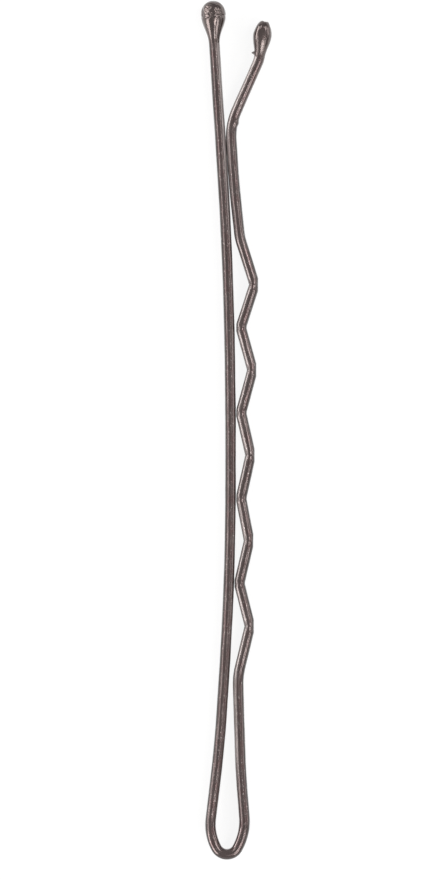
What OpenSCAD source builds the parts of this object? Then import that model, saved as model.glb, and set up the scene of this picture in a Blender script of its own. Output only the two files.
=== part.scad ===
// A two inch hair grip: one length of flat spring wire, bent back on itself
// into a long open eye. One leg is nearly straight and the other is crimped,
// so that its valleys press on the straight leg. A drop of resin covers each
// cut end of the wire.
// X runs across the grip, Y along it towards the tips, Z along the wire's width.

/* [Wire] */
// Thickness of the flat wire, from flat to flat
wire_t = 0.63; // [0.5:0.01:0.75]
// Width of the flat wire, over its rounded edges
wire_w = 1.25; // [1:0.05:1.6]

/* [Whole grip] */
// Length from the outside of the bend to the top of the straight leg's tip
grip_length = 50.8; // [49:0.1:60]
// Gap left where the crimped leg touches the straight one
touch_gap = 0.02; // [0.01:0.01:0.1]

/* [Bend] */
// Radius of the crown, at the middle of the wire
crown_r = 0.71; // [0.5:0.01:0.9]
// Turn of the crown before the straight leg's side of the eye begins
crown_turn_straight = 62; // [50:1:70]
// Turn of the crown before the crimped leg's side of the eye begins
crown_turn_crimped = 61; // [50:1:70]
// Radius of the eye's straight-leg side
eye_r_straight = 2.96; // [2.4:0.02:4]
// Radius of the eye's crimped-leg side
eye_r_crimped = 3.3; // [2.6:0.02:4]

/* [Straight leg] */
// Side step of the bow's first corner from the crown, beside the eye
bow_x1 = -0.43; // [-0.6:0.01:-0.2]
// Side step of the bow's second corner
bow_x2 = 0.17; // [0.05:0.01:0.22]
// Side step of the bow's third corner
bow_x3 = 0.24; // [0.1:0.01:0.35]
// Side step of the bow's fourth corner
bow_x4 = 0.07; // [0:0.01:0.2]
// Distance of the bow's first corner from the outside of the bend
bow_start = 6.78; // [6:0.01:8]
// Distance from each corner of the bow to the next
bow_step = 9.5; // [8.5:0.1:10]
// Lean of the leg's straight end, away from the crimped leg
straight_lean = 3.6; // [2:0.1:5]

/* [Crimped leg] */
// Number of crests
crest_count = 5; // [3:1:5]
// Distance of the first crest from the outside of the bend
first_crest = 13.81; // [13:0.01:15]
// Distance from crest to crest
crest_pitch = 5.05; // [4.6:0.01:5.3]
// Height of a plain crest's corner over the straight leg's middle line
crest_rise = 1.14; // [1:0.01:1.5]
// What the crest next to the eye rises above a plain one
first_crest_extra = 0.22; // [0:0.01:0.4]
// What the crest next to the kick rises above a plain one
last_crest_extra = 0.43; // [0:0.01:0.7]
// Gap under the valley next to the kick
last_valley_gap = 0.08; // [0.02:0.01:0.2]
// Radius at a crest, at the middle of the wire
crest_r = 2.1; // [0.7:0.05:2.4]
// Radius at a valley, at the middle of the wire
valley_r = 1.1; // [0.7:0.05:2]
// What the crimping tool presses off the outside of a crest
crest_press = 0.04; // [0.01:0.01:0.08]
// Half the length of a pressed crest
crest_press_half = 0.65; // [0.45:0.05:0.9]
// Side step from the crown to the waist, the corner between the eye and the crimps
waist_x = 0.65; // [0.6:0.01:0.8]
// Distance of the waist from the outside of the bend
waist_y = 10.83; // [10:0.01:11.5]
// Radius at the waist
waist_r = 4.2; // [2:0.1:6]
// Side step from the crown to the corner where the leg leaves the eye
eye_end_x = 0.81; // [0.75:0.01:0.95]
// Distance of that corner from the outside of the bend
eye_end_y = 5.3; // [4.8:0.01:6]
// Distance from the last crest to the foot of its outer flank
last_flank = 2.78; // [2.4:0.01:3]
// Gap under that foot
last_flank_gap = 0.19; // [0.05:0.01:0.3]
// Radius at that foot
last_flank_r = 3.7; // [1:0.1:4.5]
// Distance from that foot to where the leg lies along the straight one
landing = 3.04; // [2.5:0.01:3.5]

/* [Kick] */
// Distance of the kick's corner below the top of the grip
kick_from_top = 7.34; // [6.8:0.01:7.6]
// Radius of the kick's bend
kick_r = 3.76; // [2:0.05:4.5]
// Lean of the kick from the length of the grip
kick_angle = 23.7; // [18:0.1:28]
// Length of the kick from its bend to the bend under the tip
kick_length = 4.2; // [3.8:0.05:4.6]
// Lean of the crimped leg's end, inside its tip
crimped_lean = 8; // [4:0.1:14]
// Radius of the bend under the tip
tip_bend_r = 1.3; // [0.8:0.05:1.8]
// Distance from the bend under the tip to the top of the crimped leg's tip
crimped_end = 2.3; // [2.3:0.01:2.6]

/* [Tips] */
// Width of the straight leg's tip, as seen from the side of the grip
straight_tip_d = 1.46; // [1.2:0.01:1.8]
// Length of the straight leg's tip
straight_tip_len = 2.5; // [2.2:0.05:3]
// Side step of that tip on the wire, towards the crimped leg
straight_tip_step = 0.05; // [0:0.01:0.08]
// Length of its rounded top, above its widest place
straight_tip_cap = 0.85; // [0.6:0.05:1]
// Squareness of its top, where 2 is an ellipse
straight_tip_square = 2.1; // [1.8:0.1:4]
// Width of the crimped leg's tip
crimped_tip_d = 1.09; // [0.95:0.01:1.3]
// Length of the crimped leg's tip
crimped_tip_len = 2.1; // [1.8:0.05:2.1]
// Length of its rounded top, above its widest place
crimped_tip_cap = 0.82; // [0.6:0.05:0.9]
// Squareness of its top, where 2 is an ellipse
crimped_tip_square = 2.1; // [1.8:0.1:4]
// Resin between the wire's cut end and the top of a tip
resin_over_end = 0.45; // [0.3:0.01:0.6]
// Thickness of the resin where it runs out along the wire
resin_edge = 0.02; // [0.02:0.01:0.06]
// Share of the wire's flat that is left on a tip's section at its widest
tip_flatness = 0.45; // [0.2:0.05:0.9]

/* [Hidden] */

lacquer = "#5a4b48";
resin = "#4c3f3c";

// Largest turn, and largest height of arc over chord, from one ring to the next
ring_turn = 7.5;
ring_sag = 0.003;
// Steps round each rounded edge of the wire and of a tip
wire_edge_steps = 6;
tip_edge_steps = 10;
// Rings over a tip's cap and down its taper
cap_rings = 9;
taper_rings = 9;
// A radius so large that the corners on either side limit it
full_bow_r = 1000;
// Distance from the end of the bare flat to the edge of the resin
bare_flat_margin = 0.1;

flat_half = (wire_w - wire_t) / 2;

function unit(v) = v / norm(v);
function heading(a) = [cos(a), sin(a)];
function lean(a) = [sin(a), cos(a)];
function angle_of(v) = atan2(v.y, v.x);

// Points of an arc about a centre, from one angle to another
function arc(centre, r, from, to) =
    let (
        step = min(ring_turn, 2 * acos(1 - ring_sag / r)),
        n = max(1, ceil(abs(to - from) / step))
    )
    [for (i = [0:n]) centre + r * heading(from + (to - from) * i / n)];

// The arc that rounds corner q between its neighbours p and s
function corner(p, q, s, r) =
    let (
        u = unit(q - p),
        v = unit(s - q),
        turn = atan2(u.x * v.y - u.y * v.x, u * v),
        room = min(norm(q - p), norm(s - q)) / 2,
        reach = min(r * tan(abs(turn) / 2), room),
        arc_r = reach / tan(abs(turn) / 2),
        start = q - reach * u,
        centre = start + sign(turn) * arc_r * square_to(u),
        from = angle_of(start - centre)
    )
    arc(centre, arc_r, from, from + turn);

// A line through corners [x, y, radius], with each inner corner rounded
function rounded_line(c) = [
    [c[0].x, c[0].y],
    for (i = [1:len(c) - 2])
        each corner([c[i - 1].x, c[i - 1].y], [c[i].x, c[i].y], [c[i + 1].x, c[i + 1].y], c[i][2]),
    [c[len(c) - 1].x, c[len(c) - 1].y]
];

// A path without the points that repeat the one before them
function without_repeats(path) = [
    for (i = [0:len(path) - 1]) if (i == 0 || norm(path[i] - path[max(0, i - 1)]) > 0.002) path[i]
];

// Where a path that climbs in y crosses a height
function x_at(path, y, i = 0) =
    i >= len(path) - 2 || path[i + 1].y > y
        ? path[i].x + (path[i + 1].x - path[i].x) * (y - path[i].y) / (path[i + 1].y - path[i].y)
        : x_at(path, y, i + 1);

// The bend, drawn from the crown to the point where one leg leaves it.
// side is -1 for the straight leg and 1 for the crimped one.
crown = [0, wire_t / 2];
crown_centre = crown + [0, crown_r];

function side_centre(side, turn, r) = crown_centre + (crown_r - r) * heading(-90 + side * turn);

// Angle on the eye's side where the line to a point leaves it
function leave_angle(side, centre, r, to) =
    let (d = to - centre) angle_of(d) - side * acos(r / norm(d)) - (side < 0 ? 360 : 0);

function half_bend(side, turn, r, to) =
    let (centre = side_centre(side, turn, r))
    without_repeats(concat(
        arc(crown_centre, crown_r, -90, -90 + side * turn),
        arc(centre, r, -90 + side * turn, leave_angle(side, centre, r, to))
    ));

function last(path) = path[len(path) - 1];

// Straight leg: four corners make its bow, and its end leans out to the tip
bow = [
    for (i = [0:3]) [[bow_x1, bow_x2, bow_x3, bow_x4][i], bow_start + i * bow_step, full_bow_r]
];
straight_bend_path = half_bend(-1, crown_turn_straight, eye_r_straight, [bow[0].x, bow[0].y]);
straight_end_y = grip_length - resin_over_end;
straight_end = [last(bow).x - (straight_end_y - last(bow).y) * tan(straight_lean), straight_end_y];
// The bare flat ends just short of the resin of the tip
straight_bare_end =
    straight_end - (straight_tip_len - resin_over_end + bare_flat_margin) * lean(-straight_lean);
straight_path = without_repeats(concat(
    rounded_line(concat([last(straight_bend_path)], bow, [straight_bare_end])),
    [straight_end]
));

// Crimped leg: its corners stand off the straight leg's middle line
function off_straight(y, off, r) = [x_at(straight_path, y) + off, y, r];

flank = atan((crest_rise - wire_t) / (crest_pitch / 2));
valley_drop = valley_r * (1 / cos(flank) - 1);
touching = wire_t + touch_gap;
last_crest = first_crest + (crest_count - 1) * crest_pitch;

function crest_extra(k) =
    k == 0 ? first_crest_extra : last_crest_extra * pow((k - 1) / (crest_count - 2), 2);
function valley_gap(k) = k == crest_count - 2 ? last_valley_gap : touch_gap;
function crest(k) = off_straight(first_crest + k * crest_pitch, crest_rise + crest_extra(k), crest_r);
function valley(k) =
    off_straight(
        first_crest + (k + 0.5) * crest_pitch, wire_t + valley_gap(k) - valley_drop, valley_r
    );

kick_y = grip_length - kick_from_top;
flank_foot_y = last_crest + last_flank;
flank_foot = off_straight(flank_foot_y, wire_t + last_flank_gap, last_flank_r);
landing_point = off_straight(flank_foot_y + landing, touching, full_bow_r);
kick_corner = off_straight(kick_y, touching, kick_r);
kick_start = [kick_corner.x, kick_corner.y];
tip_bend = kick_start + kick_length * lean(kick_angle);
crimped_top = tip_bend + crimped_end * lean(crimped_lean);
crimped_wire_end = crimped_top - resin_over_end * lean(crimped_lean);

eye_end = [eye_end_x, eye_end_y];
crimped_bend_path = half_bend(1, crown_turn_crimped, eye_r_crimped, eye_end);
crimped_path = without_repeats(rounded_line(concat(
    [last(crimped_bend_path), [eye_end.x, eye_end.y, full_bow_r], [waist_x, waist_y, waist_r]],
    [for (k = [0:crest_count - 1]) each concat([crest(k)], k < crest_count - 1 ? [valley(k)] : [])],
    [
        flank_foot, landing_point, kick_corner,
        [tip_bend.x, tip_bend.y, tip_bend_r], crimped_wire_end
    ]
)));

straight_top = straight_end + resin_over_end * lean(-straight_lean);

// Half depth of a tip along the wire's width
function tip_half_depth(d) = d / 2 + flat_half * tip_flatness;
rest_height = max(tip_half_depth(straight_tip_d), tip_half_depth(crimped_tip_d));
left_side =
    straight_top.x + straight_tip_cap * sin(straight_lean) + straight_tip_step * cos(straight_lean)
    - straight_tip_d / 2;
right_side = crimped_top.x - crimped_tip_cap * sin(crimped_lean) + crimped_tip_d / 2;
mid_x = (left_side + right_side) / 2;

// Outline of a flat with full round edges, as [across the flats, along the flats]
function flat_round(half_t, half_flat, steps) = [
    for (edge = [0, 1], i = [0:steps])
        let (a = 180 * (edge + i / steps))
        [half_t * cos(a), (edge == 0 ? half_flat : -half_flat) + half_t * sin(a)]
];

// Faces of a skin over rings of n points, with both ends closed
function skin_faces(rings, n) = concat(
    [
        for (i = [0:rings - 2], j = [0:n - 1])
            let (a = i * n + j, b = i * n + (j + 1) % n)
            each [[a, a + n, b], [b, a + n, b + n]]
    ],
    [[for (j = [0:n - 1]) j]],
    [[for (j = [n - 1:-1:0]) (rings - 1) * n + j]]
);

function square_to(v) = [-v.y, v.x];

// Direction across a path at point i, long enough to mitre the joint there
function mitre(path, i) =
    let (
        u = unit(path[i] - path[i - 1]),
        v = unit(path[i + 1] - path[i]),
        n = unit(square_to(u + v))
    )
    n / (n * square_to(u));

// The same, with the path's two ends cut square to the headings given
function across(path, i, first, final) =
    i == 0 ? square_to(first) : i == len(path) - 1 ? square_to(final) : mitre(path, i);

// What is pressed off the outside of the crimped leg at a distance from the bend
function pressed_off(y) =
    crest_press
    * max([for (k = [0:crest_count - 1]) max(0, 1 - pow((y - crest(k).y) / crest_press_half, 2))]);

// The wire swept along a path, with its end rings square to the headings given.
// A crimped one has the outside of its crests pressed.
module wire(path, first, final, crimped = false) {
    outline = flat_round(wire_t / 2, flat_half, wire_edge_steps);
    points = [
        for (i = [0:len(path) - 1])
            let (
                n = across(path, i, first, final),
                outer = 1 - (crimped ? pressed_off(path[i].y) : 0) / (wire_t / 2)
            )
            for (q = outline)
                let (step = q.x < 0 ? q.x * outer : q.x)
                [path[i].x + n.x * step, path[i].y + n.y * step, q.y]
    ];
    polyhedron(points, skin_faces(len(path), len(outline)), convexity = 6);
}

function first_heading(path) = unit(path[1] - path[0]);
function final_heading(path) = unit(path[len(path) - 1] - path[len(path) - 2]);

// Both pieces of wire end square to the line on which the leg leaves the bend
module straight_wire() {
    wire(straight_path, first_heading(straight_path), final_heading(straight_path));
}

module crimped_wire() {
    wire(crimped_path, first_heading(crimped_path), final_heading(crimped_path), crimped = true);
}

// Distance below a tip's top, half thickness, share of the flat kept and share
// of the side step, for each ring of a tip from its top to its edge on the wire
function cap_ring(d, cap, square, i) =
    let (
        a = 90 * i / cap_rings,
        down = cap * (1 - cos(a)),
        swell = pow(1 - pow(cos(a), square), 1 / square)
    )
    [down, d / 2 * swell, tip_flatness * swell, 1];

function taper_ring(d, len, cap, i) =
    let (
        share = i / taper_rings,
        ease = (1 + cos(180 * share)) / 2,
        edge = wire_t / 2 + resin_edge
    )
    [
        cap + (len - cap) * share, edge + (d / 2 - edge) * ease,
        1 - (1 - tip_flatness) * ease, ease
    ];

// A drop of resin, lofted down from its top along a lean. It sits to one side
// of the wire by a step, which fades towards its edge.
module drop(top, tilt, d, len, cap, square, step = 0) {
    along = lean(tilt);
    side = [along.y, -along.x];
    rings = concat(
        [for (i = [1:cap_rings]) cap_ring(d, cap, square, i)],
        [for (i = [1:taper_rings]) taper_ring(d, len, cap, i)]
    );
    points = [
        for (r = rings)
            for (q = flat_round(r[1], flat_half * r[2], tip_edge_steps))
                let (p = top - r[0] * along + (q.x + step * r[3]) * side) [p.x, p.y, q.y]
    ];
    n = 2 * (tip_edge_steps + 1);
    polyhedron(points, skin_faces(len(rings), n), convexity = 2);
}

// From the bend's own axes to the middle of the grip's underside
module placed() {
    translate([-mid_x, -grip_length / 2, rest_height]) children();
}

module straight_leg() {
    color(lacquer) placed() straight_wire();
}

module crimped_leg() {
    color(lacquer) placed() crimped_wire();
}

module straight_side_of_bend() {
    color(lacquer) placed() wire(straight_bend_path, [-1, 0], first_heading(straight_path));
}

module crimped_side_of_bend() {
    color(lacquer) placed() wire(crimped_bend_path, [1, 0], first_heading(crimped_path));
}

module straight_leg_tip() {
    color(resin) placed() difference() {
        drop(
            straight_top, -straight_lean, straight_tip_d, straight_tip_len,
            straight_tip_cap, straight_tip_square, straight_tip_step
        );
        straight_wire();
    }
}

module crimped_leg_tip() {
    color(resin) placed() difference() {
        drop(
            crimped_top, crimped_lean, crimped_tip_d, crimped_tip_len,
            crimped_tip_cap, crimped_tip_square
        );
        crimped_wire();
    }
}

straight_leg();
straight_side_of_bend();
crimped_side_of_bend();
crimped_leg();
straight_leg_tip();
crimped_leg_tip();
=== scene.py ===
# %% [markdown]
# # A bobby pin: one bent wire and two drops of resin
#
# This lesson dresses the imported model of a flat-wire bobby pin. The model already holds every piece
# at its real size, lying on its side on the surface Z = 0, with the bend at the low end of Y and
# the tips at the high end. Blender's part is the surface: rolled edges that catch the light, the
# marks of the crimping tool, brown lacquer with a fine metallic grain, and glossy drops of resin.
# Nothing that the model places is moved.

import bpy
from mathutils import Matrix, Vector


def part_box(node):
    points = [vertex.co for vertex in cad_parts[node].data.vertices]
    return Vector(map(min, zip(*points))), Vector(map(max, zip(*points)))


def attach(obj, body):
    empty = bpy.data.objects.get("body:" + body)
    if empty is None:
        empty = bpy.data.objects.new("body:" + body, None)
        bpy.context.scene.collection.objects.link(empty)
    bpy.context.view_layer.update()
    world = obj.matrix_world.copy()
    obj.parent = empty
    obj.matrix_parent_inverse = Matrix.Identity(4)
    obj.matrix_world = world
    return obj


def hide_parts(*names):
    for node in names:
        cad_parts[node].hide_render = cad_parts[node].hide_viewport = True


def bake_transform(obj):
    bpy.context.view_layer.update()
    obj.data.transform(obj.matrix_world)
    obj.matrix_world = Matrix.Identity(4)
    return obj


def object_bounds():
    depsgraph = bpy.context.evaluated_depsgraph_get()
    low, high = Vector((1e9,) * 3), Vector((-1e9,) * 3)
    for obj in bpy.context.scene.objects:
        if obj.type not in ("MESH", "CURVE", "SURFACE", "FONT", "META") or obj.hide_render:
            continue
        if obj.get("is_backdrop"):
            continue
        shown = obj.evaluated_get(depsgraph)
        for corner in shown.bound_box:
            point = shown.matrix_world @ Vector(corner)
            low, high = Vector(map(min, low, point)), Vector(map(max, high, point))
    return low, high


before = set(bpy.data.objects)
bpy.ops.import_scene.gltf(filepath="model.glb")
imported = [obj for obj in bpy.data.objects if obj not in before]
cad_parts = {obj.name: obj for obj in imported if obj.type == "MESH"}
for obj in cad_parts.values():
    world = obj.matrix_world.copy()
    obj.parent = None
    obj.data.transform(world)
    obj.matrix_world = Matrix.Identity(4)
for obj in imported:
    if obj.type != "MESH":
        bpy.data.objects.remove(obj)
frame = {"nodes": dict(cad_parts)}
print("packed pieces:", ", ".join(frame["nodes"]))

# %% [markdown]
# Everything in the frame is in metres, but a hair grip is easier to think of in millimetres. So
# sizes are written as a number times mm, and a helper turns them back for printing. The box round
# the imported model is kept now, and printed.

# %% Units and the box round the imported model
import math

import bpy
from mathutils import Vector, geometry, noise

mm = 0.001
cad_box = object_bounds()


def in_mm(sizes, digits=2):
    """Sizes as rounded millimetres, for printing."""
    return [round(size / mm, digits) for size in sizes]


print("packed model, in mm:", [in_mm(corner) for corner in cad_box])

# %% [markdown]
# ## The route of the wire
#
# The real pin is one length of wire. Rather than draw it again, the lesson follows the wire that is
# packed. Each ring of its skin has exactly one vertex on top of the rounded edge, in the middle of
# the wire's thickness. Those top vertices, in the order of their height in Y, are the middle line
# of a piece from the bend towards its tip. Vertices count as level if they are closer than a few
# thousandths of a millimetre.

# %% Read the middle line of a piece of wire
level_within = 0.002 * mm
low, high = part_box("straight_leg")
wire_width = high.z - low.z
wire_height = (low.z + high.z) / 2


def middle_line(node):
    """The points along the middle of a piece of wire, from the bend towards the tip."""
    mesh = frame["nodes"][node].data
    top = max(v.co.z for v in mesh.vertices) - level_within
    ridge = {(round(v.co.y, 6), round(v.co.x, 6)) for v in mesh.vertices if v.co.z > top}
    return [Vector((x, y, wire_height)) for y, x in sorted(ridge)]


leg_line = middle_line("straight_leg")[::-1]
eye_line = middle_line("straight_side_of_bend")[::-1] + middle_line("crimped_side_of_bend")[1:]
crimped_line = middle_line("crimped_leg")
print("points: leg", len(leg_line), "eye", len(eye_line), "crimped leg", len(crimped_line))

# %% [markdown]
# The wire's thickness is measured where the two halves of the bend meet: there the wire runs
# straight across, so its lowest and highest points in Y are its two flats.

# %% Measure the wire's thickness
seam_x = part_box("straight_side_of_bend")[1].x
half_bend = frame["nodes"]["straight_side_of_bend"].data
seam = [v.co.y for v in half_bend.vertices if v.co.x > seam_x - level_within]
wire_thickness = max(seam) - min(seam)
wire_half = wire_thickness / 2
print("wire's thickness and width, in mm:", in_mm((wire_thickness, wire_width), 3))

# %% [markdown]
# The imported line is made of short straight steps. A spring wire has no such steps, so a smooth
# curve is drawn through the same points: each step becomes a Bezier segment that leaves and arrives
# in the direction of its neighbours. The stations along it lie close together where the steps are
# short, because that is where the wire bends. Each station knows its place, the direction ahead and
# how far along the wire it is.

# %% Smooth the line into stations
plain_step = 0.09 * mm
fine_step = 0.025 * mm
bend_chord = 0.34 * mm


def smooth_curve(points):
    """Places along a smooth curve through the points, each with its distance along the wire."""
    ahead = [
        (points[min(i + 1, len(points) - 1)] - points[max(i - 1, 0)]).normalized()
        for i in range(len(points))
    ]
    places = [(points[0], 0.0)]
    for i, (a, b) in enumerate(zip(points, points[1:])):
        chord = (b - a).length
        steps = math.ceil(chord / (fine_step if chord < bend_chord else plain_step))
        handles = (a + ahead[i] * chord / 3, b - ahead[i + 1] * chord / 3)
        curve = geometry.interpolate_bezier(a, *handles, b, steps + 1)
        start = places[-1][1]
        places += [(curve[k], start + chord * k / steps) for k in range(1, steps + 1)]
    return places


def stations_of(points):
    """Each place with the direction ahead and the distance along the wire."""
    places = smooth_curve(points)
    last = len(places) - 1
    return [
        (place, (places[min(i + 1, last)][0] - places[max(i - 1, 0)][0]).normalized(), along)
        for i, (place, along) in enumerate(places)
    ]


route = stations_of(leg_line + eye_line[1:] + crimped_line[1:])
print("stations:", len(route), "over", round(route[-1][2] / mm, 1), "mm of wire")

# %% [markdown]
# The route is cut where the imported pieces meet, so that each stretch can move with its own body.
# Both stretches at a cut keep the same last station, and so meet without a step.

# %% Cut the route into its three stretches
def station_at(point):
    """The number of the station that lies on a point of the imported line."""
    return min(range(len(route)), key=lambda i: (route[i][0] - point).length)


leg_end = station_at(eye_line[0])
eye_end = station_at(eye_line[-1])
leg_route = route[: leg_end + 1]
eye_route = route[leg_end : eye_end + 1]
crimped_route = route[eye_end:]
print("stations: leg", len(leg_route), "eye", len(eye_route), "crimped leg", len(crimped_route))

# %% [markdown]
# ## The marks of the crimping tool
#
# A crimp is struck between two steel jaws. Outside the bend the jaw leaves a short flat facet with
# a corner at each end, and inside it the metal folds into a single sharp corner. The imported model
# has smooth bends in those places, which is what a jaw would leave only if it were worn round. So
# the lesson first finds the crimps: places where the line turns by more than 20 degrees within a
# short stretch. The softer bend below the first crest and the wide one where the leg kicks out are
# no crimps, and stay smooth. For each crimp the lesson notes where its middle is, which way it
# turns (a turn to the left, seen from above, is 1), half its angle and its radius.

# %% Find the crimps along the wire
bend_gap = 0.6 * mm
crimp_turn = math.radians(20)
crimp_span = 1.4 * mm


def bends_along(points, start):
    """Groups of (distance along, turn) where the line keeps turning the same way."""
    groups = []
    along = start
    for before, here, after in zip(points, points[1:], points[2:]):
        along += (here - before).length
        turn = math.asin((here - before).normalized().cross((after - here).normalized()).z)
        near = groups and along - groups[-1][-1][0] < bend_gap
        if near and turn * groups[-1][-1][1] > 0:
            groups[-1].append((along, turn))
        else:
            groups.append([(along, turn)])
    return groups


crimps = []
for group in bends_along(crimped_line, crimped_route[0][2]):
    angle = sum(turn for _, turn in group)
    span = group[-1][0] - group[0][0]
    if abs(angle) > crimp_turn and span < crimp_span:
        middle = (group[0][0] + group[-1][0]) / 2
        crimps.append((middle, math.copysign(1, angle), abs(angle) / 2, span / abs(angle)))
        print("crimp at", *in_mm([middle], 1), "mm, turning", round(math.degrees(angle)), "degrees")

# %% [markdown]
# A smooth bend becomes a folded one by swapping its arc for straight lines: the two flanks, drawn
# on until they meet, with a facet across the corner that they make. The distance between arc and
# lines is a parabola to within a few thousandths of a millimetre, so both are worked out from
# squares. Away from the arc's ends the flanks rise off it, and the facet rises from its own middle,
# so the lower of the two is the shape. A facet of no length gives the sharp corner that lies inside
# a bend.

# %% How far straight lines lie outside an arc
def off_arc(past, half_angle, radius, facet):
    """The gap from an arc to its flanks and facet, past its middle. Facet is its half length."""
    half_arc = half_angle * radius
    if abs(past) > half_arc:
        return 0
    flank_gap = (half_arc - abs(past)) ** 2
    facet_gap = half_arc * (half_arc - 2 * facet) + past**2
    return min(flank_gap, facet_gap) / (2 * radius)


corner_gap = off_arc(0, math.radians(15), 2 * mm, 0)
print("a sharp corner lies off a 30 degree arc by", *in_mm([corner_gap], 3), "mm")

# %% [markdown]
# The jaws have different faces. A crest, which turns left, is struck hard and gets a long facet
# outside and a sharp fold inside. A valley has a shorter facet, which lies along the straight leg,
# and a blunt inside. Next to a fold the squeezed metal swells a little along the wire's width, and
# its skin wrinkles.

# %% What a crimp does to the section
crest_facets = (0.38 * mm, 0)
valley_facets = (0.22 * mm, 0.07 * mm)
fold_reach = 0.16 * mm
swell_share = 0.03
wrinkle_depth = 0.006 * mm
wrinkle_pitch = 0.11 * mm


def bump(distance, reach):
    """1 at a distance of 0, and next to nothing past the reach."""
    return math.exp(-((distance / reach) ** 2))


def folded(along):
    """What the outside and the inside of a bend move out at a place, its turn and its swell."""
    for middle, turn, half_angle, radius in crimps:
        past = along - middle
        if abs(past) < half_angle * radius:
            outer_facet, inner_facet = crest_facets if turn > 0 else valley_facets
            outer, inner = radius + wire_half, radius - wire_half
            near = bump(past, fold_reach)
            wrinkle = wrinkle_depth * near * math.cos(2 * math.pi * past / wrinkle_pitch)
            rise = off_arc(past * outer / radius, half_angle, outer, outer_facet)
            fall = off_arc(past * inner / radius, half_angle, inner, inner_facet) + wrinkle
            return rise, -fall, turn, swell_share * near
    return 0, 0, 1, 0


print("the first crimp moves out, outside and inside, in mm:", in_mm(folded(crimps[0][0])[:2], 3))

# %% [markdown]
# ## The section of the wire
#
# Flat wire is round wire that has been rolled. Its two flats come out very slightly crowned, and
# its two edges stay full and round. The outline is a list of points round the section. Each point
# has its place across the thickness and up the width, and the direction in which the surface faces
# there.

# %% Draw the outline of the flat wire
edge_steps = 16
flat_steps = 6
flat_crown = 0.006 * mm
wire_flat = wire_width / 2 - wire_half


def flat_wire_outline():
    """Points (across, up, facing across, facing up) round the wire's section."""
    outline = []
    for end in (1, -1):
        for i in range(edge_steps + 1):
            a = math.pi * i / edge_steps
            facing = (end * math.cos(a), end * math.sin(a))
            up = end * wire_flat + wire_half * facing[1]
            outline.append((wire_half * facing[0], up, *facing))
        for i in range(1, flat_steps):
            up = wire_flat * (1 - 2 * i / flat_steps)
            crown = wire_half + flat_crown * (1 - (up / wire_flat) ** 2)
            outline.append((-end * crown, end * up, -end, 0))
    return outline


wire_outline = flat_wire_outline()
print("points round the wire:", len(wire_outline))

# %% [markdown]
# Drawn wire is never quite even. A slow wobble of a few thousandths of a millimetre is too small to
# see as a shape, but it makes the long highlights waver and break, and that is what makes a thin
# wire look like metal. Noise gives the wobble. It is stretched along the wire, because the rolls
# leave their marks in that direction. Its octaves are how fast they fade, how much finer each is
# than the last, and how many there are.
#
# The folds widen or narrow the section, so each half of it is scaled across the wire by its own
# amount. Where the leg kicks out, the metal inside that wider bend was pinched into one small lump.

# %% Place one point of the wire's surface
wobble_depth = 0.009 * mm
wobble_length = 1.1 * mm
wobble_width = 0.22 * mm
wobble_octaves = (0.9, 2.3, 3)
pinch_y = 18.2 * mm
pinch_at = next(along for place, _, along in crimped_route if place.y > pinch_y)
pinch_height = 0.05 * mm
pinch_reach = 0.16 * mm


def wire_point(station, corner):
    """A point of the surface in space, and where it would lie if the wire were straight."""
    place, ahead, along = station
    across, up, facing_across, facing_up = corner
    outside, inside, turn, swell = folded(along)
    moved = outside if across * turn > 0 else inside
    spot = Vector((across / wobble_width, along / wobble_length, up / wobble_width))
    out = wobble_depth * noise.fractal(spot, *wobble_octaves)
    out += pinch_height * bump(along - pinch_at, pinch_reach) * max(0, facing_across)
    right = Vector((ahead.y, -ahead.x, 0))
    point = place + right * (across * (1 + moved / wire_half) + out * facing_across)
    point.z += up * (1 + swell) + out * facing_up
    return point, (across / mm, along / mm, up / mm)


print("pinched at", *in_mm([pinch_at], 1), "mm along the wire")
print("one point of the wire, in mm:", in_mm(wire_point(route[0], wire_outline[0])[0]))

# %% [markdown]
# ## Making a skin
#
# A skin joins rings of points into a closed tube. The way round each ring stays the same, so that
# ring after ring can be joined by four-sided faces, and one many-sided face closes each end. An end
# that is cut off square gets sharp edges, so that the smooth shading of the sides doesn't bend
# round into the cut.
#
# A bent wire can't use ordinary coordinates for its texture, because rolling marks follow the wire.
# So each point also keeps the place that it would have on a straight wire. It is stored as an
# attribute called straightened, in millimetres: across the wire, along it and up it. It has no
# seam, and it moves with the surface when the pin is opened.

# %% Join rings of points into a closed skin
def skin(name, rings, square_ends):
    """A closed mesh over rings of (point, straightened place)."""
    count = len(rings[0])
    points = [point for ring in rings for point, _ in ring]
    faces = [
        (a + j, a + count + j, a + count + (j + 1) % count, a + (j + 1) % count)
        for a in range(0, count * (len(rings) - 1), count)
        for j in range(count)
    ]
    first, last = range(count), range(len(points) - count, len(points))
    faces += [tuple(first), tuple(reversed(last))]
    mesh = bpy.data.meshes.new(name)
    mesh.from_pydata(points, [], faces)
    mesh.shade_smooth()
    if square_ends:
        for cut in (mesh.polygons[-2], mesh.polygons[-1]):
            for i in cut.loop_indices:
                mesh.edges[mesh.loops[i].edge_index].use_edge_sharp = True
    straightened = mesh.attributes.new("straightened", "FLOAT_VECTOR", "POINT")
    flat_list = [v for ring in rings for _, straight in ring for v in straight]
    straightened.data.foreach_set("vector", flat_list)
    piece = bpy.data.objects.new(name, mesh)
    bpy.context.scene.collection.objects.link(piece)
    return piece


def wire_piece(name, stations):
    """A stretch of the wire as a closed skin."""
    rings = [[wire_point(station, corner) for corner in wire_outline] for station in stations]
    return skin(name, rings, square_ends=True)


print("points in the skin of the whole wire:", len(route) * len(wire_outline))

# %% [markdown]
# ## The three stretches of wire
#
# The straight leg and the crimped leg are stiff next to the bend, so each rides on its own body.
# The bend is different: when the pin is opened, its crown flexes. The whole eye is one skin, which
# is tied to neither body.

# %% Make the wire and tie it to the bodies
straight_wire = wire_piece("straight_leg_wire", leg_route)
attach(straight_wire, "straight_side")
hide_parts("straight_leg")

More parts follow.
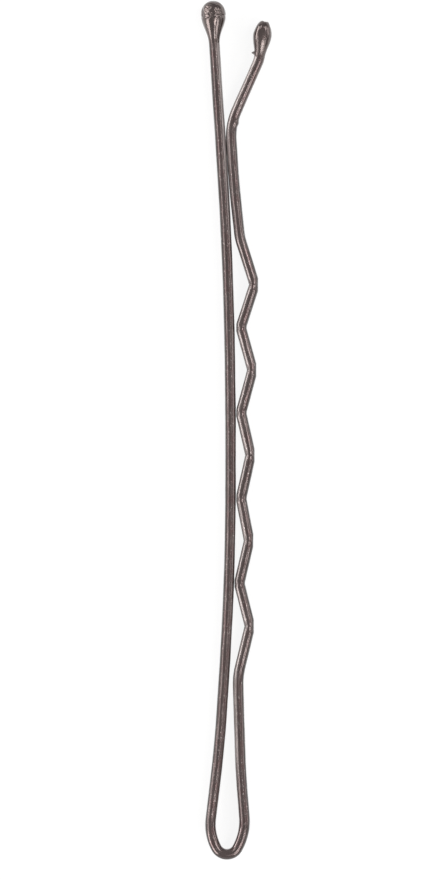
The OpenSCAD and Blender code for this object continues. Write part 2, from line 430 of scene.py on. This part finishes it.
crimped_wire = wire_piece("crimped_leg_wire", crimped_route)
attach(crimped_wire, "crimped_side")
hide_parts("crimped_leg")

eye_wire = wire_piece("eye_wire", eye_route)
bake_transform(eye_wire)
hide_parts("straight_side_of_bend", "crimped_side_of_bend")

wires = [straight_wire, eye_wire, crimped_wire]
for wire in wires:
    print(wire.name, "has", len(wire.data.polygons), "faces")

# %% [markdown]
# ## The drops of resin
#
# Each cut end of the wire is dipped in resin, which draws up into a drop and sets. Below its widest
# place the drop runs out along the wire to a thin edge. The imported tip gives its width, depth, top
# and lowest point. A drop is made like the wire, from rings, but its rings change in size: they
# swell under the cap, and then ease down to the wire's own section. The section stays a flat with
# round edges, and the flat grows as the resin thins.

# %% The outline of a drop's section
drop_steps = 44
drop_flat_steps = 10


def drop_outline(half, flat):
    """Points (across, up) round a drop at one height."""
    outline = []
    for end in (1, -1):
        for i in range(drop_steps + 1):
            a = math.pi * i / drop_steps
            outline.append((end * half * math.cos(a), end * (flat + half * math.sin(a))))
        for i in range(1, drop_flat_steps):
            outline.append((-end * half, end * flat * (1 - 2 * i / drop_flat_steps)))
    return outline


print("points round a drop:", len(drop_outline(1 * mm, 1 * mm)))

# %% [markdown]
# The rings of a drop go from its top down. The first ones follow a quarter of an oval, where square
# says how boxy the oval is: 2 is an ellipse, and more is flatter on top. The rest follow half a
# wave of a cosine, which leaves the widest place and meets the wire without a corner. A drop that
# was still soft when it touched the drying rack has a blunt end, so its first rings only widen, and
# the oval starts from there. In the width of the wire the drop fills out sooner, because the square
# end of the flat wire is inside it, so the depth has a boxier oval of its own.

# %% How a drop swells and runs out
blunt_rings = 8
cap_rings = 40
run_rings = 70
resin_edge = 0.004 * mm
depth_square = 3.2


def oval(a, square, blunt):
    """How wide an oval is, from its blunt end at an angle of 0 to its middle at a quarter turn."""
    return blunt + (1 - blunt) * (1 - math.cos(a) ** square) ** (1 / square)


def drop_rings(length, cap, half, flat, square, blunt):
    """How far down each ring is, its half thickness, half flat and share of the side step."""
    rings = []
    if blunt:
        for i in range(1, blunt_rings + 1):
            swell = blunt * i / blunt_rings
            rings.append((0, half * swell, flat * swell, 1))
    for i in range(1, cap_rings + 1):
        a = math.pi / 2 * i / cap_rings
        size = half * oval(a, square, blunt)
        depth = (half + flat) * oval(a, depth_square, blunt)
        rings.append((cap * (1 - math.cos(a)), size, depth - size, 1))
    for i in range(1, run_rings + 1):
        share = i / run_rings
        full = (1 + math.cos(math.pi * share)) / 2
        edge = wire_half + resin_edge
        size = (edge + (half - edge) * full, wire_flat + (flat - wire_flat) * full)
        rings.append((cap + (length - cap) * share, *size, full))
    return rings


print("rings in a drop:", len(drop_rings(2 * mm, 1 * mm, 1 * mm, 1 * mm, 2, 0)))

# %% [markdown]
# Resin that is dipped by the thousand sets with small faults. The larger drop has a pitted, mottled
# dome that ends in a broken crease round its widest place. The smaller one has fine ribs down its
# sides, a nearly flat top with a dent between two corners, and a tiny run of resin that set on its
# inner side. Each fault is a function that says how far the surface moves out at a place on the
# drop, given across the wire, down from the top and up its width, in millimetres.

# %% The faults of the larger drop
pit_depth, crease_depth, soft_rib_depth = 0.045, 0.014, 0.010
pits_per_mm, pit_octaves, highest_lump = 5.5, (0.6, 2.1, 2), 0.15
dome_end, dome_fade, bare_middle, bare_top = 1.1, 0.3, 0.35, 0.25
crease_down, crease_wander, wander_per_mm, crease_reach = 0.93, 0.05, 4, 0.05


def ease(share):
    """From 0 to 1 without a corner at either end."""
    share = min(1, max(0, share))
    return share * share * (3 - 2 * share)


def ribs_down(across, down, up, per_mm, broken, seed):
    """Ribs that run down a drop: so many per millimetre round it, and broken so often."""
    return noise.noise(Vector((across * per_mm, down * broken, up * per_mm + seed)))


def pitted_dome(across, down, up):
    """Pits and lumps over the dome, a broken crease below it, and long soft ribs."""
    pits = noise.fractal(Vector((across, down, up)) * pits_per_mm, *pit_octaves)
    over = ease((dome_end - down) / dome_fade) * ease(abs(up) / bare_middle) * ease(down / bare_top)
    wander = crease_wander * noise.noise(Vector((across * wander_per_mm, up * wander_per_mm, 2)))
    crease = bump(down - crease_down - wander, crease_reach)
    ribs = ribs_down(across, down, up, per_mm=3.6, broken=0.5, seed=7)
    lumps = pit_depth * min(highest_lump, pits) * over
    return (lumps - crease_depth * crease + soft_rib_depth * ribs) * mm


down_the_dome = [pitted_dome(0, i / 10, 0.5) for i in range(11)]
print("the dome goes in and out, in mm:", in_mm((min(down_the_dome), max(down_the_dome)), 3))

# %% The faults of the smaller drop
fine_rib_depth, corner_height, run_height = 0.014, 0.012, 0.17
corner_across, corner_reach, dent_across, dent_reach, top_reach = -0.1, 0.09, 0.04, 0.08, 0.07
run_down, run_length, run_up, run_width, run_inwards = 1.93, 0.085, 0.15, 0.16, 0.3


def ribbed_and_dented(across, down, up):
    """Fine ribs, a dent between two corners on top, and a run of resin low on the inner side."""
    ribs = ribs_down(across, down, up, per_mm=6.5, broken=0.6, seed=3)
    corner = bump(across - corner_across, corner_reach) - bump(across - dent_across, dent_reach)
    top = corner_height * corner * bump(down, top_reach)
    run = bump(down - run_down, run_length) * bump(up - run_up, run_width)
    return (fine_rib_depth * ribs + top + run_height * run * ease(-across / run_inwards)) * mm


print("the run stands out by", *in_mm([ribbed_and_dented(-run_inwards, run_down, run_up)]), "mm")

# %% [markdown]
# A drop hangs on the last bit of the wire, and leans and bends as the wire does. So its rings are
# strung on the wire's own stations, counted back from the tip, and past the cut end they go
# straight on.

# %% Follow the wire back from its tip
def from_tip(stations):
    """Stations from a tip, as (place, direction to the tip, distance back), the cut end first."""
    end, after = stations[0], stations[1]
    facing = math.copysign(1, (end[0] - after[0]).dot(end[1]))
    return [(place, ahead * facing, abs(along - end[2])) for place, ahead, along in stations]


def place_back(stations, back):
    """The wire's middle and direction at a distance back from the cut end, or past it below 0."""
    for (a, ahead, near), (b, ahead_after, far) in zip(stations, stations[1:]):
        if back < far:
            share = (back - near) / (far - near)
            return a.lerp(b, share), ahead.lerp(ahead_after, max(share, 0)).normalized()


straight_tip = from_tip(leg_route)
crimped_tip = from_tip(crimped_route[::-1])
for tip in (straight_tip, crimped_tip):
    print("1 mm past a cut end, in mm:", in_mm(place_back(tip, -1 * mm)[0]))

# %% [markdown]
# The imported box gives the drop's size, and how far its widest place sits to one side of the wire.
# After the plain drop is made, its faults move each point along the surface's own direction there.

# %% Make one drop of resin
def resin_drop(name, node, stations, cap, square, blunt, fault):
    """A drop over the cut end of the wire."""
    low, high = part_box(node)
    end, ahead, _ = stations[0]
    over_end = (high.y - end.y) / ahead.y
    length = (high.y - low.y) / ahead.y
    widest, _ = place_back(stations, cap - over_end)
    step = (low.x + high.x) / 2 - widest.x
    half = (high.x - low.x) / 2
    flat = (high.z - low.z) / 2 - half
    rings = []
    for down, ring_half, ring_flat, shift in drop_rings(length, cap, half, flat, square, blunt):
        middle, ahead = place_back(stations, down - over_end)
        right = Vector((ahead.y, -ahead.x, 0))
        ring = []
        for across, up in drop_outline(ring_half, ring_flat)[::-1]:
            point = middle + right * (across + step * shift) + Vector((0, 0, up))
            ring.append((point, (across / mm, down / mm, up / mm)))
        rings.append(ring)
    drop = skin(name, rings, square_ends=False)
    places = [straight for ring in rings for _, straight in ring]
    facing = [vertex.normal.copy() for vertex in drop.data.vertices]
    for vertex, normal, place in zip(drop.data.vertices, facing, places):
        vertex.co += normal * fault(*place)
    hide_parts(node)
    print(name, "is", in_mm(drop.dimensions), "mm")
    return drop


# %% Dip both ends of the wire
straight_drop = resin_drop(
    "straight_leg_drop",
    "straight_leg_tip",
    straight_tip,
    cap=0.85 * mm,
    square=2.1,
    blunt=0,
    fault=pitted_dome,
)
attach(straight_drop, "straight_side")

crimped_drop = resin_drop(
    "crimped_leg_drop",
    "crimped_leg_tip",
    crimped_tip,
    cap=0.82 * mm,
    square=1.4,
    blunt=0.36,
    fault=ribbed_and_dented,
)
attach(crimped_drop, "crimped_side")

# %% [markdown]
# ## Writing shaders as sums
#
# A material in Blender is a tree of nodes, and even a short sum takes several Math nodes. The class
# below wraps one output of a node, so that the sum can be written as a sum: grain * 0.4 + 0.1 makes
# the two nodes that it needs. Everything that isn't a plain sum goes through its node method, which
# takes the type of a node, its settings and what goes into its sockets.

# %% Wrap an output of a node
class Value:
    """An output of a node. Sums and products with it add Math nodes."""

    def __init__(self, tree, socket=None):
        self.tree = tree
        self.socket = socket

    def node(self, kind, settings=None, sockets=None, output=0):
        """Adds a node, with its settings first, and gives back one of its outputs."""
        made = self.tree.nodes.new(kind)
        for name, setting in (settings or {}).items():
            if name == "stops":
                set_stops(made.color_ramp, setting)
            else:
                setattr(made, name, setting)
        for name, value in (sockets or {}).items():
            socket = find(made.inputs, name)
            if isinstance(value, Value):
                self.tree.links.new(value.socket, socket)
            else:
                socket.default_value = value
        return Value(self.tree, find(made.outputs, output) if made.outputs else None)

    def sum_of(self, operation, first, second):
        return self.node("ShaderNodeMath", {"operation": operation}, {0: first, 1: second})

    def __add__(self, other):
        return self.sum_of("ADD", self, other)

    def __sub__(self, other):
        return self.sum_of("SUBTRACT", self, other)

    def __rsub__(self, other):
        return self.sum_of("SUBTRACT", other, self)

    def __mul__(self, other):
        return self.sum_of("MULTIPLY", self, other)

    __radd__ = __add__
    __rmul__ = __mul__


def find(sockets, name):
    """A socket by its number, or the one in use by its name."""
    if isinstance(name, int):
        return sockets[name]
    return next(s for s in sockets if s.name == name and s.enabled)


def set_stops(ramp, stops):
    """Gives a colour ramp its stops, as (position, grey level)."""
    while len(ramp.elements) < len(stops):
        ramp.elements.new(1)
    for element, (position, level) in zip(ramp.elements, stops):
        element.position = position
        element.color = (level, level, level, 1)


# %% [markdown]
# A few more helpers cover what the finishes share: the straightened place, noise that is stretched
# in it, a colour between two others, and a soft step that turns noise into a mask. A ramp gives a
# grey colour, and the product with 1 makes it a plain number.

# %% Helpers for the finishes
def new_finish(name):
    """A material with an empty tree, and the start of its sums."""
    material = bpy.data.materials.new(name)
    material.use_nodes = True
    material.node_tree.nodes.clear()
    return material, Value(material.node_tree)


def straightened_place(start):
    """The place that a point would have on a straight wire, in millimetres."""
    return start.node("ShaderNodeAttribute", {"attribute_name": "straightened"}, output="Vector")


def part_of(place, axis):
    """One part of a straightened place: X is across the wire and Y along it."""
    return place.node("ShaderNodeSeparateXYZ", {}, {0: place}, output=axis)


def stretched_noise(place, across, along, detail=2):
    """Noise with so many lumps per millimetre across the wire and along it."""
    scaled = place.node(
        "ShaderNodeVectorMath", {"operation": "MULTIPLY"}, {0: place, 1: (across, along, across)}
    )
    return place.node("ShaderNodeTexNoise", {}, {"Vector": scaled, "Scale": 1, "Detail": detail})


def between(mask, first, second):
    """The first colour where the mask is 0, and the second where it is 1."""
    settings = {"data_type": "RGBA", "clamp_factor": True}
    a, b = (colour if isinstance(colour, Value) else (*colour, 1) for colour in (first, second))
    return mask.node("ShaderNodeMix", settings, {"Factor": mask, "A": a, "B": b}, output="Result")


def step_up(value, start, end):
    """A mask that rises from 0 at the start to 1 at the end."""
    stops = [(start, 0), (end, 1)]
    return value.node("ShaderNodeValToRGB", {"stops": stops}, {"Fac": value}) * 1


# %% [markdown]
# Both finishes are mostly metallic and dark, under a clear coat whose highlights stay white. What
# is the same all over is set on the shader itself. The Bump node's distance is in metres, so that
# grain and ripple have a real depth and look the same from any distance.

# %% A dark metallic surface under a clear coat
clear_coat = {"IOR": 1.45, "Coat Weight": 0.8, "Coat Roughness": 0.12}
metal_level = 0.75


def coated_metal(start, colour, metallic, roughness, height, depth):
    """The surface of a finish, whose height swings by so much depth in metres."""
    bumped = start.node("ShaderNodeBump", {}, {"Height": height, "Distance": depth})
    sockets = {"Base Color": colour, "Metallic": metallic, "Roughness": roughness, "Normal": bumped}
    surface = start.node("ShaderNodeBsdfPrincipled", {}, {**sockets, **clear_coat})
    start.node("ShaderNodeOutputMaterial", {}, {"Surface": surface})


print("the clear coat:", clear_coat)

# %% [markdown]
# ## The lacquer on the wire
#
# The wire is steel under a thin brown lacquer that holds a fine metallic powder. Faint streaks run
# along the wire, where the rolls left lines under the lacquer. Slow patches are a little lighter or
# darker, and smaller blotches a little redder.
#
# The colour isn't the same all round. The inner side of the crimped leg, and of the straight leg for
# about a centimetre from its tip, is painted lighter: a painted reflection. At the very edge the
# painted reflection is lighter still, and the surface is rougher there. The landing gets less of it,
# a painted shade where it lies along the straight leg. The outer sides are painted darker, a painted
# shade, as far as the kicked-out end. Here and there a chip as small as a grain of dust has gone.
#
# In the straightened space these are plain: the inner side has a negative place across the wire,
# and the distance along it tells the legs apart. A colour ramp only runs from 0 to 1, so that
# distance is divided by 100 mm first.

# %% Where the inner side gets a painted reflection
ramp_length = 100
# How much less painted reflection the landing gets: a painted shade where the straight leg lies beside it.
landing_painted_shade = 0.6


def reached(far, start, end):
    """A mask that rises from 0 to 1 between two places along the wire, in millimetres."""
    return step_up(far, start / ramp_length, end / ramp_length)


def painted_reflection_along(far):
    """Where the inner side gets painted reflection: 1 along the crimped leg and at the straight leg's tip,
    less on the landing, else 0.
    """
    # The landing's dip is a painted shade where the straight leg lies along it.
    landing = reached(far, 85, 88) * (1 - reached(far, 92, 95))
    return reached(far, 54, 57) * (1 - landing * landing_painted_shade) + (1 - reached(far, 9, 14))


print("the wire's distances on a ramp end at", round(route[-1][2] / mm / ramp_length, 3))

# %% [markdown]
# The colour is built as a painter would, in coats. Each coat covers the ones before it where its
# mask is 1. The masks across the wire are in millimetres from its middle.

# %% Make the lacquer
dark_lacquer = (0.092, 0.065, 0.062)
light_lacquer = (0.144, 0.110, 0.105)
reddish_lacquer = (0.112, 0.068, 0.066)
# Painted reflection: the inner side is painted lighter, and its very edge lighter still.
painted_inner_reflection = (0.158, 0.132, 0.127)
painted_edge_reflection = (0.38, 0.345, 0.335)
# Painted shade: the outer side of the wire is painted darker.
painted_outer_shade = (0.035, 0.026, 0.024)
chipped = (0.36, 0.32, 0.31)
blotch_strength = 0.8
lacquer_roughness, grain_roughness, edge_roughness = 0.14, 0.10, 0.3
grain_depth = 0.008 * mm


def lacquer_finish():
    """Dark brown metallic lacquer over rolled steel, with painted reflection on the inner side and painted
    shade on the outer side.
    """
    material, start = new_finish("brown_lacquer")
    place = straightened_place(start)
    across, along = part_of(place, "X"), part_of(place, "Y")
    streaks = stretched_noise(place, across=9, along=0.35)
    grain = stretched_noise(place, across=11, along=7, detail=3)
    patches = stretched_noise(place, across=1.1, along=0.5)
    blotches = stretched_noise(place, across=3.5, along=1.6)
    chips = stretched_noise(place, across=12, along=8, detail=1)
    far = along * (1 / ramp_length)
    # Where the inner side is painted lighter, a painted reflection, and at its edge lighter still and
    # rougher.
    painted_reflection_stretches = painted_reflection_along(far)
    edge_with_painted_reflection = step_up(across * -1, 0.17, 0.25) * painted_reflection_stretches
    tone = step_up(streaks * 0.55 + patches * 0.45, 0.35, 0.65)
    colour = between(tone, dark_lacquer, light_lacquer)
    coats = [
        (step_up(blotches, 0.48, 0.62) * blotch_strength, reddish_lacquer),
        # Painted reflection on the inner side, then lighter still at its edge.
        (step_up(across * -1, 0.06, 0.18) * painted_reflection_stretches, painted_inner_reflection),
        (edge_with_painted_reflection, painted_edge_reflection),
        # Painted shade on the outer side, up to the kicked-out end.
        (step_up(across, 0.17, 0.26) * (1 - reached(far, 94, 97)), painted_outer_shade),
        (step_up(chips, 0.685, 0.72), chipped),
    ]
    for mask, coat in coats:
        colour = between(mask, colour, coat)
    metallic = metal_level + step_up(grain, 0.5, 0.8) * 0.2
    roughness = lacquer_roughness + grain * grain_roughness + edge_with_painted_reflection * edge_roughness
    coated_metal(start, colour, metallic, roughness, streaks * 0.5 + grain * 0.5, grain_depth)
    return material


lacquer = lacquer_finish()
for wire in wires:
    wire.data.materials.append(lacquer)
print("nodes in the lacquer:", len(lacquer.node_tree.nodes))

# %% [markdown]
# ## The resin of the drops
#
# The resin is the same brown, but thicker and smoother, so its highlights are sharper. A fine
# ripple from setting keeps them from looking like glass. Towards its thin edge, from 1 mm below the
# top, the resin shows the rougher lacquer under it. A drop's distances run down from its top, and
# 0.3 times them fits on a colour ramp.

# %% Make the resin
dark_resin = (0.085, 0.063, 0.058)
light_resin = (0.135, 0.104, 0.098)
resin_roughness, speck_roughness, thin_roughness = 0.12, 0.10, 0.06
ripple_depth = 0.012 * mm
thin_from, thin_to = 1.0, 2.2
ramp_share = 0.3


def resin_finish():
    """Glossy dark brown resin with a fine ripple."""
    material, start = new_finish("brown_resin")
    place = straightened_place(start)
    down = part_of(place, "Y")
    lines = stretched_noise(place, across=8, along=1.1)
    specks = stretched_noise(place, across=9, along=9)
    thin = step_up(down * ramp_share, thin_from * ramp_share, thin_to * ramp_share)
    tone = step_up(lines * 0.6 + specks * 0.4, 0.38, 0.62)
    colour = between(tone, dark_resin, light_resin)
    metallic = metal_level + specks * 0.1
    roughness = resin_roughness + specks * speck_roughness + thin * thin_roughness
    coated_metal(start, colour, metallic, roughness, lines * 0.4 + specks * 0.6, ripple_depth)
    return material


resin = resin_finish()
for drop in (straight_drop, crimped_drop):
    drop.data.materials.append(resin)
print("nodes in the resin:", len(resin.node_tree.nodes))

# %% [markdown]
# ## The floor and the world
#
# The pin lies on a white sheet. A white background should come from the sheet and not from stronger
# lamps, which would wash out the brown. So part of the sheet's white is ordinary paint, which takes
# the pin's soft shadow, and the rest is a faint glow that only the camera, mirror reflections and
# glass can see. The sheet's four edges are turned up, so that the steepest sides of the wire mirror
# white too. The world is a plain pale room. It is darker than the sheet, because the middle of the
# wire mirrors it and is dark in the photograph.

# %% Lay the sheet
sheet_half = 6.0
sheet_rise = 0.9
paint_level = 0.16
glow_level = 0.88


def seen_directly(start):
    """1 for rays from the camera, from gloss and through glass, and 0 for the rest."""
    rays = ("Is Camera Ray", "Is Glossy Ray", "Is Transmission Ray")
    camera, glossy, through = (start.node("ShaderNodeLightPath", output=ray) for ray in rays)
    return start.sum_of("MAXIMUM", start.sum_of("MAXIMUM", camera, glossy), through)


sheet_mesh = bpy.data.meshes.new("white_sheet")
corners = [(-1, -1), (1, -1), (1, 1), (-1, 1)]
sheet_points = [(x * sheet_half, y * sheet_half, z) for z in (0, sheet_rise) for x, y in corners]
turned_up = [(i, i + 4, (i + 1) % 4 + 4, (i + 1) % 4) for i in range(4)]
sheet_mesh.from_pydata(sheet_points, [], [(0, 1, 2, 3), *turned_up])
white_sheet = bpy.data.objects.new("white_sheet", sheet_mesh)
bpy.context.scene.collection.objects.link(white_sheet)
white_sheet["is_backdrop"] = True

sheet_finish, start = new_finish("white_sheet")
paint_colour = (paint_level, paint_level, paint_level, 1)
paint = start.node("ShaderNodeBsdfDiffuse", {}, {"Color": paint_colour})
glow = start.node("ShaderNodeEmission", {}, {"Strength": seen_directly(start) * glow_level})
both = start.node("ShaderNodeAddShader", {}, {0: paint, 1: glow})
start.node("ShaderNodeOutputMaterial", {}, {"Surface": both})
sheet_mesh.materials.append(sheet_finish)
print("sheet:", 2 * sheet_half, "m square")

# %% Light the room
room_level = 0.42

world = bpy.data.worlds.new("pale_room")
bpy.context.scene.world = world
world.use_nodes = True
world.node_tree.nodes.clear()
start = Value(world.node_tree)
room = start.node("ShaderNodeBackground", {}, {"Color": (1, 1, 1, 1), "Strength": room_level})
start.node("ShaderNodeOutputWorld", {}, {"Surface": room})
print("room level:", room_level)

# %% [markdown]
# ## The lamps
#
# A round wire edge turns each softbox into one long bright line, and the lamp's height above the
# table decides where that line falls across the wire: a line at a share c of the half thickness
# comes from a lamp whose angle from straight overhead is twice the angle with the sine c. Every
# stretch of the pin points its own way, so each sees its own lamps. Most of them stand low or half
# way up, to the left and the right, which keeps the wire's middle dark. A narrow one is high on the
# right, for the stretches whose right line falls nearer the middle. Each lamp has its place round
# the pin, its width and height in degrees as the pin sees them, and how bright its face is. White
# paper in the plain room has a brightness of about 1.

# %% Put up the softboxes
lamp_away = 2.0
lamp_tint = (1.0, 0.97, 0.96)


def softbox(name, azimuth, elevation, wide, tall, bright):
    """A soft lamp round the pin. Azimuth goes from +X towards +Y, and all angles are in degrees."""
    a, e = math.radians(azimuth), math.radians(elevation)
    toward = Vector((math.cos(a) * math.cos(e), math.sin(a) * math.cos(e), math.sin(e)))
    lamp = bpy.data.lights.new(name, "AREA")
    lamp.shape = "RECTANGLE"
    lamp.size = 2 * lamp_away * math.tan(math.radians(wide / 2))
    lamp.size_y = 2 * lamp_away * math.tan(math.radians(tall / 2))
    lamp.energy = bright * math.pi * lamp.size * lamp.size_y
    lamp.color = lamp_tint
    holder = bpy.data.objects.new(name, lamp)
    holder.location = toward * lamp_away
    holder.rotation_euler = toward.to_track_quat("Z", "Y").to_euler()
    holder.visible_camera = False
    bpy.context.scene.collection.objects.link(holder)
    return bright * math.radians(wide) * math.radians(tall) * math.sin(e) / math.pi


lamp_levels = [
    softbox("upper_left_softbox", 162, 13, 27, 22, 4.6),
    softbox("left_softbox", 184, 36, 16, 24, 2.2),
    softbox("high_left_softbox", 140, 40, 16, 22, 2.6),
    softbox("lower_left_softbox", 211, 22, 36, 24, 5.2),
    softbox("lower_right_softbox", -49, 37, 20, 22, 4.4),
    softbox("right_softbox", -26, 43, 22, 16, 3.6),
    softbox("high_right_softbox", -41, 68, 19, 9, 8.5),
    softbox("upper_right_softbox", 29, 53, 22, 22, 4.2),
    softbox("low_right_softbox", 7, 20, 22, 16, 2.0),
]
print("light on the table:", round(sum(lamp_levels) + room_level, 2))

# %% [markdown]
# ## The camera
#
# The photograph was taken from straight above, from far enough away that the wire shows no sides. A
# long lens does the same. The view is as tall as the picture's 880 pixels at the pin's scale, and
# its distance follows from that. Other views of the pin keep this lens but see only a few metres
# deep, so with a much longer one a low view would lose the far side of the sheet.

# %% Place the camera
pixel = 0.05916 * mm
picture_height = 880
picture_middle = (-0.967 * mm, -0.58 * mm)

camera_data = bpy.data.cameras.new("camera")
camera_data.sensor_fit = "VERTICAL"
camera_data.sensor_height = 36
camera_data.lens = 500
camera_away = picture_height * pixel * camera_data.lens / camera_data.sensor_height
camera = bpy.data.objects.new("camera", camera_data)
camera.location = (*picture_middle, wire_height + camera_away)
bpy.context.scene.collection.objects.link(camera)
bpy.context.scene.camera = camera
bpy.context.scene.view_settings.view_transform = "Standard"
print("camera", round(camera_away, 3), "m above the pin")

# %% [markdown]
# ## The size
#
# The boxes round the imported pin and the finished one are gathered, and the finished one is
# printed. The finished pin has to fill the same box as the imported one.

# %% Gather both boxes and print the finished one
boxes = {"cad": [list(corner) for corner in cad_box], "visual": [list(corner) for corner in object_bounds()]}
print("finished pin, in mm:", [in_mm(corner) for corner in boxes["visual"]])
